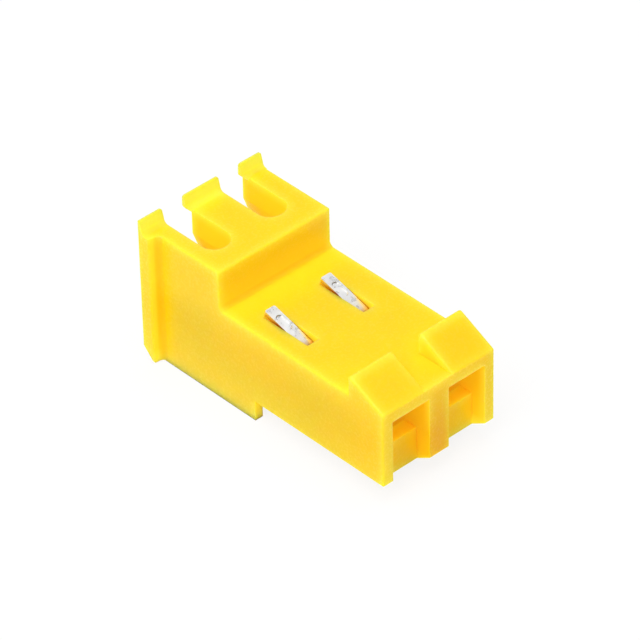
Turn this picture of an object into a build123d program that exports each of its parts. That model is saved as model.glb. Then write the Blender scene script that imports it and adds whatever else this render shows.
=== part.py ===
# Two-position insulation-displacement receptacle: a moulded nylon housing with two stamped contacts.
# Millimetres. X across the positions, -Y the mating end, +Y the wire end, +Z the side with ramps and slots.
# Origin at the middle of the outline, on the plane that the skirts of the wire end stand on.
import os
from math import radians, tan

from build123d import *

# Grid of the connector
pitch = 3.96
positions = 2
lance_offset = -0.33
wire_offset = -0.17

# Size of the housing and lengths along Y
length = 17.60
height = 9.15
nose_setback = 0.96
stop_thickness = 0.90
ramp_length = 2.55
block_start = 12.20
slot_start = 13.60
skirt_start = 9.65
web_setback = 0.38
lip_depth = 0.24
lip_top_depth = 0.09
window_start = 6.85
window_length = 3.35
rib_depth = 0.80

# Walls, widths and heights of the housing
web = 1.36
end_wall = 0.69
skirt_drop = 0.70
skirt_thickness = 0.52
floor_thickness = 0.70
cavity_height = 3.75
top_wall = 0.72
stop_height = 1.35
nose_chamfer = 0.58
ramp_rise = 1.28
ramp_gap = 1.90
lip_rise = 0.85
hook_reach = 0.30
hook_drop = 0.16
rib_stand = 0.68
rib_lift = 0.08
rib_chamfer = 0.83
wire_slot = 1.78
slot_taper = 1.60
window_width = 0.80

# Radii of the moulding
slot_corner = 0.85
block_root = 0.30
hook_corner = 0.15
lip_foot = 0.30
rib_foot = 0.35
long_edge = 0.10
ramp_softening = 0.06
nose_edge = 0.12
rib_edge = 0.15

# Stamped contact
stock = 0.30
side_clearance = 0.05
floor_clearance = 0.03
roof_clearance = 0.06
stop_clearance = 0.10
contact_tail = 1.00
bend = 0.18
beam_length = 2.90
beam_height = 1.60
beam_gap = 0.92
beam_lead = 0.80
beam_flare = 0.34
box_setback = 0.04
rail_height = 1.45
blade_length = 3.60
blade_slot = 0.50
blade_mouth = 1.30
blade_land = 0.75
mouth_depth = 0.75
blade_height = 0.95
blade_spacing = 1.60
lance_width = 0.70
lance_lift = 0.40
lance_gap = 0.05
lance_slope = 15.5
lance_reach = 0.40
lance_bend = 0.30
lance_corner = 0.10
dimple_width = 0.42
dimple_length = 1.10
dimple_depth = 0.06
dimple_inset = 0.60
dimple_taper = 40

# Worked out from the values above
front = -length / 2
rear = length / 2
middle = rib_stand / 2
posts = [middle + (i - (positions - 1) / 2) * pitch for i in range(positions)]
cavity_width = pitch - web
body_width = (positions - 1) * pitch + cavity_width + 2 * end_wall
left = middle - body_width / 2
right = middle + body_width / 2
floor_z = skirt_drop
cavity_z = floor_z + floor_thickness
ceiling_z = cavity_z + cavity_height
body_top = ceiling_z + top_wall
lip_top = height
block_top = lip_top - lip_rise
nose_z = floor_z + nose_chamfer
stop_top = cavity_z + stop_height
post_z = (stop_top + ceiling_z) / 2
stop_rear = front + nose_setback + stop_thickness
lip_front = rear - lip_depth
hook_front = lip_front - lip_foot
hook_z = block_top - hook_drop
slot_front = front + slot_start
wires = [x + wire_offset for x in posts]
block_front = front + block_start
ramp_edge = long_edge + ramp_softening

with BuildPart() as housing:
    # Side view of the body and the taller wire block
    with BuildSketch(Plane.YZ.offset(left)) as side:
        with BuildLine():
            Polyline(
                (front, nose_z),
                (front, body_top),
                (block_front, body_top),
                (block_front, block_top),
                (rear, block_top),
                (rear, floor_z),
                (front + nose_setback, floor_z),
                close=True,
            )
        make_face()
        fillet(side.vertices().sort_by_distance((block_front, body_top))[0], radius=block_root)
    extrude(amount=body_width)

    # Rounded edges along the body, up the corners of the wire block and round its top
    long_edges = housing.edges().filter_by(Axis.Y).filter_by_position(Axis.Z, cavity_z, lip_top)
    rim = housing.edges().filter_by(Axis.X).group_by(Axis.Z)[-1].sort_by(Axis.Y)[:1]
    fillet(long_edges + rim, radius=long_edge)

    # The lower long edges lean inwards like the nose
    with BuildSketch(Plane.XZ.offset(-front)):
        for wall, inner in ((left, left + end_wall), (right, right - end_wall)):
            with BuildLine():
                Polyline((wall, floor_z), (wall, nose_z), (inner, floor_z), close=True)
            make_face()
    extrude(amount=-length, mode=Mode.SUBTRACT)

    # Locking ramps, flush with the two ends of the row
    with BuildSketch(Plane.YZ.offset(middle + ramp_gap / 2)):
        with BuildLine():
            Polyline(
                (front, body_top),
                (front + ramp_length, body_top + ramp_rise),
                (front + ramp_length, body_top - long_edge),
                (front, body_top - long_edge),
                close=True,
            )
        make_face()
    ramp = extrude(amount=(body_width - ramp_gap) / 2)
    mirror(ramp, about=Plane.YZ.offset(middle))
    rims = housing.edges().filter_by_position(Axis.Y, front, front + skirt_start)
    fillet(rims.filter_by_position(Axis.Z, body_top + ramp_edge, lip_top), radius=ramp_edge)
    fillet(housing.edges().filter_by(Axis.Z).group_by(Axis.Y)[0], radius=nose_edge)

    # Skirts below the side walls of the wire end
    with BuildSketch(Plane.XY):
        for x in (left + skirt_thickness / 2, right - skirt_thickness / 2):
            with Locations((x, (front + skirt_start + rear) / 2)):
                Rectangle(skirt_thickness, rear - front - skirt_start)
    extrude(amount=nose_z)

    # Rib up the outer left corner of the wire end, bevelled at its foot and blended into the wall
    with BuildSketch(Plane.YZ.offset(left - rib_stand)):
        with BuildLine():
            Polyline(
                (rear - rib_depth, rib_lift),
                (rear - rib_depth, block_top),
                (rear, block_top),
                (rear, rib_lift + rib_chamfer),
                close=True,
            )
        make_face()
    extrude(amount=rib_stand + end_wall)
    rib_front = housing.edges().filter_by(Axis.Z).group_by(Axis.X)[0].sort_by(Axis.Y)[0]
    fillet(rib_front, radius=rib_edge)
    with BuildSketch(Plane.XY.offset(rib_lift)):
        with BuildLine():
            Line((left - rib_foot, rear - rib_depth), (left, rear - rib_depth))
            Line((left, rear - rib_depth), (left, rear - rib_depth - rib_foot))
            RadiusArc((left, rear - rib_depth - rib_foot), (left - rib_foot, rear - rib_depth), -rib_foot)
        make_face()
    extrude(amount=block_top - rib_lift)

    # Lip along the top of the wire end, hollowed down to the block
    with BuildSketch(Plane.YZ.offset(left - rib_stand)):
        with BuildLine():
            hollow = TangentArc((hook_front, block_top), (lip_front, block_top + lip_foot), tangent=(1, 0))
            Polyline(
                hollow @ 1,
                (rear - lip_top_depth, lip_top),
                (rear, lip_top),
                (rear, block_top - long_edge),
                (hook_front, block_top - long_edge),
                hollow @ 0,
            )
        make_face()
    extrude(amount=body_width + rib_stand)

    # Cavities: open to the wire end, with a stop under the post hole at the mating end
    with BuildSketch(Plane.XZ.offset(-stop_rear)):
        with Locations(*[(x, (cavity_z + ceiling_z) / 2) for x in posts]):
            Rectangle(cavity_width, cavity_height)
    extrude(amount=-(rear - stop_rear), mode=Mode.SUBTRACT)
    with BuildSketch(Plane.XZ.offset(-front)):
        with Locations(*[(x, (stop_top + ceiling_z) / 2) for x in posts]):
            Rectangle(cavity_width, ceiling_z - stop_top)
    extrude(amount=-(stop_rear - front), mode=Mode.SUBTRACT)
    with BuildSketch(Plane.XZ.offset(-front)):
        with Locations(*[(x, stop_top / 2) for x in posts]):
            Rectangle(cavity_width, stop_top)
    extrude(amount=-nose_setback, mode=Mode.SUBTRACT)

    # Wire slots through the block, rounded at the front and widening below into the cavities
    with BuildSketch(Plane.XY.offset(ceiling_z)) as slots:
        with Locations(*[(x, (slot_front + hook_front) / 2) for x in wires]):
            Rectangle(wire_slot, hook_front - slot_front)
        fillet(slots.vertices().filter_by_position(Axis.Y, slot_front, slot_front), radius=slot_corner)
    extrude(amount=lip_top - ceiling_z, mode=Mode.SUBTRACT)
    with BuildSketch(Plane.XZ.offset(-slot_front - slot_corner)):
        for x, wire in zip(posts, wires):
            with BuildLine():
                Polyline(
                    (x - cavity_width / 2, ceiling_z),
                    (x + cavity_width / 2, ceiling_z),
                    (wire + wire_slot / 2, ceiling_z + slot_taper),
                    (wire - wire_slot / 2, ceiling_z + slot_taper),
                    close=True,
                )
            make_face()
    extrude(amount=slot_front + slot_corner - rear, mode=Mode.SUBTRACT)

    # Gaps in the lip, each with a hook over one side of its slot
    with BuildSketch(Plane.XZ.offset(-hook_front)):
        for wire in wires:
            with BuildLine():
                Polyline(
                    (wire - wire_slot / 2, ceiling_z),
                    (wire + wire_slot / 2, ceiling_z),
                    (wire + wire_slot / 2, hook_z),
                    (wire + wire_slot / 2 - hook_reach, hook_z + hook_reach),
                    (wire + wire_slot / 2 - hook_reach, lip_top),
                    (wire - wire_slot / 2, lip_top),
                    close=True,
                )
            make_face()
    extrude(amount=hook_front - rear, mode=Mode.SUBTRACT)

    # Webs between the positions stop short of the lip that overhangs them
    with BuildSketch(Plane.YZ.offset(posts[0])):
        with BuildLine():
            Polyline(
                (rear, cavity_z),
                (rear, hook_z + web_setback),
                (rear - web_setback, hook_z),
                (rear - web_setback, cavity_z),
                close=True,
            )
        make_face()
    extrude(amount=posts[-1] - posts[0], mode=Mode.SUBTRACT)

    # Slots in the top wall for the locking lances
    with BuildSketch(Plane.XY.offset(ceiling_z)):
        with Locations(*[(x + lance_offset, front + window_start + window_length / 2) for x in posts]):
            Rectangle(window_width, window_length)
    extrude(amount=top_wall, mode=Mode.SUBTRACT)

    # Rounded ends of the lips
    lip_ends = housing.edges().filter_by(Axis.Y).filter_by_position(Axis.Z, hook_z + hook_reach, lip_top)
    fillet(lip_ends.filter_by_position(Axis.X, left + end_wall / 2, right), radius=hook_corner)
housing.part.label = "housing"

# Levels and stations of a contact
half_width = cavity_width / 2 - side_clearance
base_z = cavity_z + floor_clearance
roof_z = ceiling_z - roof_clearance
contact_front = stop_rear + stop_clearance
contact_rear = rear - contact_tail
box_front = contact_front + beam_length
lance_root = front + window_start
box_rear = lance_root - box_setback
blade_front = contact_rear - blade_length
lance_knee = lance_root + lance_reach
lance_tip = lance_root + window_length - lance_gap
lance_tip_z = body_top + lance_lift
lance_knee_z = lance_tip_z - (lance_tip - lance_knee) * tan(radians(lance_slope))

with BuildPart() as contact:
    # Base strip
    with BuildSketch(Plane.XY.offset(base_z)):
        with Locations((0, (contact_front + contact_rear) / 2)):
            Rectangle(2 * (half_width - bend), contact_rear - contact_front)
    extrude(amount=stock)

    # Box round the middle, low rails behind it and full walls beside the blades
    for start, end, wall_top, roof in (
        (box_front, box_rear, roof_z, True),
        (box_rear, blade_front, base_z + rail_height, False),
        (blade_front, contact_rear, roof_z, False),
    ):
        wall = wall_top - base_z
        with BuildSketch(Plane.XZ.offset(-start)):
            with Locations((0, base_z + wall)):
                RectangleRounded(2 * half_width, 2 * wall, bend)
            with Locations((0, base_z + wall)):
                Rectangle(2 * (half_width - stock), 2 * (wall - stock), mode=Mode.SUBTRACT)
            with Locations((0, wall_top + wall / 2)):
                Rectangle(2 * half_width, wall, mode=Mode.SUBTRACT)
            if roof:
                with Locations((0, wall_top - stock / 2)):
                    Rectangle(2 * half_width, stock)
        extrude(amount=-(end - start))

    # Two spring beams that close on the post and flare at their tips
    with BuildSketch(Plane.XY.offset(post_z - beam_height / 2)):
        with BuildLine():
            Polyline(
                (half_width - stock, box_front),
                (beam_gap / 2, contact_front + beam_lead),
                (beam_gap / 2 + beam_flare, contact_front),
                (beam_gap / 2 + beam_flare + stock, contact_front),
                (beam_gap / 2 + stock, contact_front + beam_lead),
                (half_width, box_front),
                close=True,
            )
        make_face()
        mirror(about=Plane.YZ)
    extrude(amount=beam_height)

    # Two slotted blades across the channel, one folded in from each wall
    plate_front = blade_front + blade_land
    for i, side in enumerate((-1, 1)):
        with BuildSketch(Plane.XY.offset(base_z + blade_height + i * blade_spacing)):
            with Locations((side * (stock + side_clearance) / 2, (plate_front + contact_rear) / 2)):
                Rectangle(2 * half_width - stock - side_clearance, contact_rear - plate_front)
            with BuildLine():
                Polyline(
                    (wire_offset - blade_slot / 2, plate_front + blade_land),
                    (wire_offset - blade_slot / 2, contact_rear - mouth_depth),
                    (wire_offset - blade_mouth / 2, contact_rear),
                    (wire_offset + blade_mouth / 2, contact_rear),
                    (wire_offset + blade_slot / 2, contact_rear - mouth_depth),
                    (wire_offset + blade_slot / 2, plate_front + blade_land),
                    close=True,
                )
            make_face(mode=Mode.SUBTRACT)
        extrude(amount=stock)

    # Locking lance, cut free of the roof and bent up through the slot in the housing
    with BuildSketch(Plane.YZ.offset(lance_offset - lance_width / 2)):
        with BuildLine():
            FilletPolyline(
                (box_rear - stock, roof_z),
                (lance_root, roof_z),
                (lance_knee, lance_knee_z),
                (lance_tip, lance_tip_z),
                radius=lance_bend,
            )
            offset(amount=stock, side=Side.RIGHT)
        make_face()
    extrude(amount=lance_width)

    # Rounded tip of the lance and an oval dimple pressed into it
    fillet(contact.edges().sort_by(Axis.Z)[-3:-1], radius=lance_corner)
    dimple_plane = Plane(
        origin=(lance_offset, lance_tip, lance_tip_z),
        x_dir=(1, 0, 0),
        z_dir=Vector(0, 0, 1).rotate(Axis.X, lance_slope),
    )
    with BuildSketch(dimple_plane):
        with Locations((0, -dimple_inset - dimple_length / 2)):
            SlotOverall(dimple_length, dimple_width, rotation=90)
    extrude(amount=-dimple_depth, taper=dimple_taper, mode=Mode.SUBTRACT)

os.makedirs("parts", exist_ok=True)
export_step(housing.part, "parts/housing.step")
for i, x in enumerate(posts):
    placed = contact.part.moved(Location((x, 0, 0)))
    placed.label = f"contact_{i + 1}"
    export_step(placed, f"parts/{placed.label}.step")
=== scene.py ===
import math

import bmesh
import bpy
from mathutils import Matrix, Vector

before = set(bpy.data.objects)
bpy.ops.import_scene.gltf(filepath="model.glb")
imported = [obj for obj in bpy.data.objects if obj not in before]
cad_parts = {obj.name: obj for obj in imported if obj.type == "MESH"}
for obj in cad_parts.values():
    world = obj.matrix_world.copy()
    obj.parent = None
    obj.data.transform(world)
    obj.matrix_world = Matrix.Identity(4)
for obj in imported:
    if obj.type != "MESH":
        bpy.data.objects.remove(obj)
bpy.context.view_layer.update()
millimetre = 0.001

# Camera, fitted to the straight edges of the moulding
camera = {
    "azimuth": -42.3998,  # degrees, 0 looks along +Y
    "elevation": 38.2830,
    "roll": -1.3530,
    "distance": 253.6475,  # mm from the aim point
    "aim": (-2.2828, -2.8351, 8.0033),  # mm, where the middle of the picture looks
    "lens": 280.57,
    "sensor": 36,
    "clipStart": 0.01,  # m
}

# Yellow nylon of the housing; noise scales are per mm, reaches and places in mm
nylon = {
    "colour": (0.86, 0.605, 0.014),
    "deepColour": (0.87, 0.575, 0.011),  # where the resin flowed thicker
    "flow": {"scale": 0.16, "detail": 2.0},
    "wallShadeColour": (0.84, 0.54, 0.003),  # painted shade: walls darker at mid height, where the contacts inside keep light from coming through
    "wallShadeFoot": (1.4, 3.2),  # heights where that starts and is full
    "wallShadeTop": (4.2, 5.6),  # and where it fades and is gone
    "thinLitColour": (1.0, 0.74, 0.08),  # painted light: lips, rib and edges made paler for the light that passes through them
    "thinReach": 0.6,
    "webShadeColour": (0.80, 0.45, 0.005),  # painted shade on the front of the solid web between the two mouths
    "webShadeMiddle": (0.0, -8.8, 2.0),
    "webShadeReach": (0.8, 2.8),  # full within the first and gone at the second
    "gapShadeColour": (0.50, 0.19, 0.0),  # painted shade where another piece is close in front
    "gapReach": 0.70,
    "gapRange": (0.55, 0.80),
    "roughness": (0.20, 0.32),
    "gloss": 0.20,
    "glossFade": 0.3,  # closeness of a recess at which the gloss is gone
    "refraction": 1.45,
    "scatter": 1.0,
    "scatterReach": (1.0, 0.80, 0.11),
    "scatterDepth": 1.5,
    "slotGlow": (0.80, 0.52, 0.02),  # light that the resin passes on in its open slots
    "cavityGlow": (0.76, 0.31, 0.0),  # and deep in its cavities
    "glowTurn": (0.45, 0.85),  # closeness at which the first turns into the second
    "glowStrength": 0.55,
    "glowReach": 3.0,
    "grain": {"scale": 6.25, "detail": 4.0, "rough": 0.6},  # mould texture
    "waves": {"scale": 0.9, "detail": 2.0},  # faint flow waves
    "waveHeight": 4.0,  # times the grain's
    "grainHeight": 0.004,
    "relief": 0.35,
}

# Tin plate of the contacts, in the same units
tin = {
    "colour": (0.97, 0.97, 0.965),
    "dullColour": (0.93, 0.93, 0.925),
    "patches": {"scale": 3.5, "detail": 2.0, "rough": 0.5},
    "patchRange": (0.42, 0.70),
    "patchStrength": 0.8,
    "creaseShadeColour": (0.30, 0.27, 0.23),  # painted shade in the creases that run across the strip
    "creaseShadeReach": 0.30,
    "creaseShadeRange": (0.02, 0.16),
    "creaseShadeFacing": (0.35, 0.65),  # how far a face turns along the strip before the painted shade falls on it
    "gapShadeColour": (0.66, 0.32, 0.01),  # painted shade, tinted as a painted reflection of the nylon close to it
    "gapReach": 0.70,
    "gapRange": (0.12, 0.45),
    "roughness": (0.22, 0.42),
    "rollingStretch": (1.0, 0.05, 1.0),  # marks run along Y
    "rollingMarks": {"scale": 1 / 0.12, "detail": 2.0},
    "markHeight": 0.0015,
    "relief": 0.4,
}

# Studio: metres, degrees and watts
floor = {"halfWidth": 1.0, "colour": (0.9, 0.9, 0.9), "roughness": 0.9, "white": 0.86}
skyLevel = 0.54
lamps = {
    "keyLamp": {"azimuth": -78, "elevation": 52, "distance": 0.30, "size": 0.22, "watts": 0.45},
    "topLamp": {"azimuth": 0, "elevation": 88, "distance": 0.35, "size": 0.30, "watts": 0.52},
}


def mathNode(nodes, links, operation, first, second):
    node = nodes.new("ShaderNodeMath")
    node.operation = operation
    for socket, value in zip(node.inputs, (first, second)):
        if isinstance(value, (int, float)):
            socket.default_value = value
        else:
            links.new(value, socket)
    return node.outputs[0]


def blend(nodes, links, factor, first, second):
    node = nodes.new("ShaderNodeMix")
    node.data_type = "RGBA"
    links.new(factor, node.inputs[0])
    for socket, colour in zip((node.inputs[6], node.inputs[7]), (first, second)):
        if isinstance(colour, tuple):
            socket.default_value = (*colour, 1)
        else:
            links.new(colour, socket)
    return node.outputs[2]


def spread(nodes, links, value, low, high, start=0.3, end=0.7):
    # a value from start to end becomes one from low to high
    node = nodes.new("ShaderNodeMapRange")
    node.inputs["From Min"].default_value = start
    node.inputs["From Max"].default_value = end
    node.inputs["To Min"].default_value = low
    node.inputs["To Max"].default_value = high
    links.new(value, node.inputs["Value"])
    return node.outputs["Result"]


def millimetreCoordinates(nodes, links, stretch=(1.0, 1.0, 1.0)):
    coordinates = nodes.new("ShaderNodeTexCoord")
    mapping = nodes.new("ShaderNodeMapping")
    mapping.inputs["Scale"].default_value = [s / millimetre for s in stretch]
    links.new(coordinates.outputs["Object"], mapping.inputs["Vector"])
    return mapping.outputs["Vector"]


def axisOf(nodes, links, vector, axis):
    node = nodes.new("ShaderNodeSeparateXYZ")
    links.new(vector, node.inputs["Vector"])
    return node.outputs[axis]


def noise(nodes, links, vector, scale, detail, rough=0.5):
    node = nodes.new("ShaderNodeTexNoise")
    node.inputs["Scale"].default_value = scale
    node.inputs["Detail"].default_value = detail
    node.inputs["Roughness"].default_value = rough
    links.new(vector, node.inputs["Vector"])
    return node.outputs["Fac"]


def nearness(nodes, links, reach, inside=False, alone=True):
    # 1 where a surface is close all round, on the outside or within; the piece's own, if alone
    node = nodes.new("ShaderNodeAmbientOcclusion")
    node.samples = 8
    node.inside = inside
    node.only_local = alone
    node.inputs["Distance"].default_value = reach * millimetre
    return mathNode(nodes, links, "SUBTRACT", 1.0, node.outputs["AO"])


def gapShadeMask(nodes, links, look):
    # 1 in a narrow gap, where another piece closes a surface off: where shade is painted
    everything = nearness(nodes, links, look["gapReach"], alone=False)
    own = nearness(nodes, links, look["gapReach"])
    others = mathNode(nodes, links, "SUBTRACT", everything, own)
    return spread(nodes, links, others, 0.0, 1.0, *look["gapRange"])


def newMaterial(name):
    material = bpy.data.materials.new(name)
    material.use_nodes = True
    nodes, links = material.node_tree.nodes, material.node_tree.links
    return material, nodes, links, nodes["Principled BSDF"]


def addRelief(nodes, links, shader, height, strength, depth):
    bump = nodes.new("ShaderNodeBump")
    bump.inputs["Strength"].default_value = strength
    bump.inputs["Distance"].default_value = depth * millimetre
    links.new(height, bump.inputs["Height"])
    links.new(bump.outputs["Normal"], shader.inputs["Normal"])


def nylonColour(nodes, links, vector, gap):
    flow = spread(nodes, links, noise(nodes, links, vector, **nylon["flow"]), 0.0, 1.0)
    colour = blend(nodes, links, flow, nylon["colour"], nylon["deepColour"])
    # painted shade in a band at mid height of the walls
    height = axisOf(nodes, links, vector, "Z")
    above = spread(nodes, links, height, 0.0, 1.0, *nylon["wallShadeFoot"])
    below = spread(nodes, links, height, 1.0, 0.0, *nylon["wallShadeTop"])
    wallShade = mathNode(nodes, links, "MULTIPLY", above, below)
    colour = blend(nodes, links, wallShade, colour, nylon["wallShadeColour"])
    # painted light on thin parts and edges, which light passes through
    thin = nearness(nodes, links, nylon["thinReach"], inside=True)
    colour = blend(nodes, links, thin, colour, nylon["thinLitColour"])
    # painted shade around the front of the web
    away = nodes.new("ShaderNodeVectorMath")
    away.operation = "DISTANCE"
    away.inputs[1].default_value = nylon["webShadeMiddle"]
    links.new(vector, away.inputs[0])
    webShade = spread(nodes, links, away.outputs["Value"], 1.0, 0.0, *nylon["webShadeReach"])
    colour = blend(nodes, links, webShade, colour, nylon["webShadeColour"])
    # painted shade in narrow gaps
    return blend(nodes, links, gap, colour, nylon["gapShadeColour"])


def nylonMaterial():
    material, nodes, links, shader = newMaterial("yellowNylon")
    vector = millimetreCoordinates(nodes, links)
    gap = gapShadeMask(nodes, links, nylon)
    links.new(nylonColour(nodes, links, vector, gap), shader.inputs["Base Color"])
    shader.inputs["Subsurface Weight"].default_value = nylon["scatter"]
    shader.inputs["Subsurface Radius"].default_value = nylon["scatterReach"]
    shader.inputs["Subsurface Scale"].default_value = nylon["scatterDepth"] * millimetre
    shader.inputs["IOR"].default_value = nylon["refraction"]

    grain = noise(nodes, links, vector, **nylon["grain"])
    waves = noise(nodes, links, vector, **nylon["waves"])
    links.new(spread(nodes, links, grain, *nylon["roughness"]), shader.inputs["Roughness"])
    waves = mathNode(nodes, links, "MULTIPLY", waves, nylon["waveHeight"])
    height = mathNode(nodes, links, "ADD", waves, grain)
    addRelief(nodes, links, shader, height, nylon["relief"], nylon["grainHeight"])

    # recesses stay matt and get a painted glow, warm, for the light that also reaches them through
    # the walls
    closed = nearness(nodes, links, nylon["glowReach"])
    gloss = spread(nodes, links, closed, nylon["gloss"], 0.0, 0.0, nylon["glossFade"])
    links.new(gloss, shader.inputs["Specular IOR Level"])
    level = mathNode(nodes, links, "MULTIPLY", closed, nylon["glowStrength"])
    level = mathNode(nodes, links, "MULTIPLY", level, mathNode(nodes, links, "SUBTRACT", 1.0, gap))
    links.new(level, shader.inputs["Emission Strength"])
    deep = spread(nodes, links, closed, 0.0, 1.0, *nylon["glowTurn"])
    glow = blend(nodes, links, deep, nylon["slotGlow"], nylon["cavityGlow"])
    links.new(glow, shader.inputs["Emission Color"])
    return material


def tinMaterial():
    material, nodes, links, shader = newMaterial("tinPlate")
    vector = millimetreCoordinates(nodes, links)
    patches = noise(nodes, links, vector, **tin["patches"])
    dull = spread(nodes, links, patches, 0.0, tin["patchStrength"], *tin["patchRange"])
    colour = blend(nodes, links, dull, tin["colour"], tin["dullColour"])
    normal = nodes.new("ShaderNodeTexCoord").outputs["Normal"]
    facing = mathNode(nodes, links, "ABSOLUTE", axisOf(nodes, links, normal, "Y"), 0.0)
    facing = spread(nodes, links, facing, 0.0, 1.0, *tin["creaseShadeFacing"])
    # painted shade in the creases across the strip
    crease = nearness(nodes, links, tin["creaseShadeReach"])
    crease = spread(nodes, links, crease, 0.0, 1.0, *tin["creaseShadeRange"])
    creaseShade = mathNode(nodes, links, "MULTIPLY", crease, facing)
    colour = blend(nodes, links, creaseShade, colour, tin["creaseShadeColour"])
    # painted shade with a painted reflection of the nylon, in narrow gaps
    colour = blend(nodes, links, gapShadeMask(nodes, links, tin), colour, tin["gapShadeColour"])
    links.new(colour, shader.inputs["Base Color"])
    shader.inputs["Metallic"].default_value = 1.0

    links.new(spread(nodes, links, patches, *tin["roughness"]), shader.inputs["Roughness"])
    along = millimetreCoordinates(nodes, links, tin["rollingStretch"])
    marks = noise(nodes, links, along, **tin["rollingMarks"])
    addRelief(nodes, links, shader, marks, tin["relief"], tin["markHeight"])
    return material


def seenBy(nodes, links, *rays):
    # 1 for the named kinds of ray
    path = nodes.new("ShaderNodeLightPath")
    seen = path.outputs[rays[0]]
    for ray in rays[1:]:
        seen = mathNode(nodes, links, "MAXIMUM", seen, path.outputs[ray])
    return seen


def makeFloor():
    bm = bmesh.new()
    bmesh.ops.create_grid(bm, x_segments=1, y_segments=1, size=floor["halfWidth"])
    mesh = bpy.data.meshes.new("floor")
    bm.to_mesh(mesh)
    bm.free()
    ground = bpy.data.objects.new("floor", mesh)
    bpy.context.scene.collection.objects.link(ground)
    material, nodes, links, shader = newMaterial("paleFloor")
    shader.inputs["Base Color"].default_value = (*floor["colour"], 1)
    shader.inputs["Roughness"].default_value = floor["roughness"]
    # mostly plain white to the eye and in reflections, while it lights the part as a pale floor
    white = nodes.new("ShaderNodeEmission")
    mix = nodes.new("ShaderNodeMixShader")
    seen = seenBy(nodes, links, "Is Camera Ray", "Is Glossy Ray", "Is Transmission Ray")
    links.new(mathNode(nodes, links, "MULTIPLY", seen, floor["white"]), mix.inputs["Fac"])
    links.new(shader.outputs["BSDF"], mix.inputs[1])
    links.new(white.outputs["Emission"], mix.inputs[2])
    links.new(mix.outputs["Shader"], nodes["Material Output"].inputs["Surface"])
    mesh.materials.append(material)


def makeSky():
    world = bpy.data.worlds.new("studio")
    bpy.context.scene.world = world
    world.use_nodes = True
    nodes, links = world.node_tree.nodes, world.node_tree.links
    background = nodes["Background"]
    background.inputs["Color"].default_value = (1, 1, 1, 1)
    seen = seenBy(nodes, links, "Is Camera Ray", "Is Transmission Ray")
    level = spread(nodes, links, seen, skyLevel, 1.0, 0.0, 1.0)
    links.new(level, background.inputs["Strength"])


def directionFrom(azimuth, elevation):
    az, el = math.radians(azimuth), math.radians(elevation)
    return Vector((math.sin(az) * math.cos(el), -math.cos(az) * math.cos(el), math.sin(el)))


def makeLamp(name, azimuth, elevation, distance, size, watts):
    lamp = bpy.data.lights.new(name, "AREA")
    lamp.shape = "DISK"
    lamp.size = size
    lamp.energy = watts
    holder = bpy.data.objects.new(name, lamp)
    bpy.context.scene.collection.objects.link(holder)
    away = directionFrom(azimuth, elevation)
    holder.location = away * distance
    holder.rotation_euler = away.to_track_quat("Z", "Y").to_euler()


def makeCamera():
    az, roll = math.radians(camera["azimuth"]), math.radians(camera["roll"])
    back = directionFrom(camera["azimuth"], camera["elevation"])
    right = Vector((math.cos(az), math.sin(az), 0))
    up = back.cross(right)
    turned = Matrix((
        right * math.cos(roll) + up * math.sin(roll),
        up * math.cos(roll) - right * math.sin(roll),
        back,
    )).transposed()
    lens = bpy.data.cameras.new("camera")
    lens.lens = camera["lens"]
    lens.sensor_width = camera["sensor"]
    lens.clip_start = camera["clipStart"]
    holder = bpy.data.objects.new("camera", lens)
    bpy.context.scene.collection.objects.link(holder)
    place = (Vector(camera["aim"]) + back * camera["distance"]) * millimetre
    holder.matrix_world = Matrix.Translation(place) @ turned.to_4x4()
    bpy.context.scene.camera = holder


print("materials")
yellowNylon = nylonMaterial()
tinPlate = tinMaterial()

print("pieces")
for name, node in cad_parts.items():
    for slot in node.material_slots:
        slot.material = yellowNylon if name == "housing" else tinPlate

print("floor, light and camera")
makeFloor()
makeSky()
for name, lamp in lamps.items():
    makeLamp(name, **lamp)
makeCamera()
bpy.context.scene.view_settings.view_transform = "Standard"
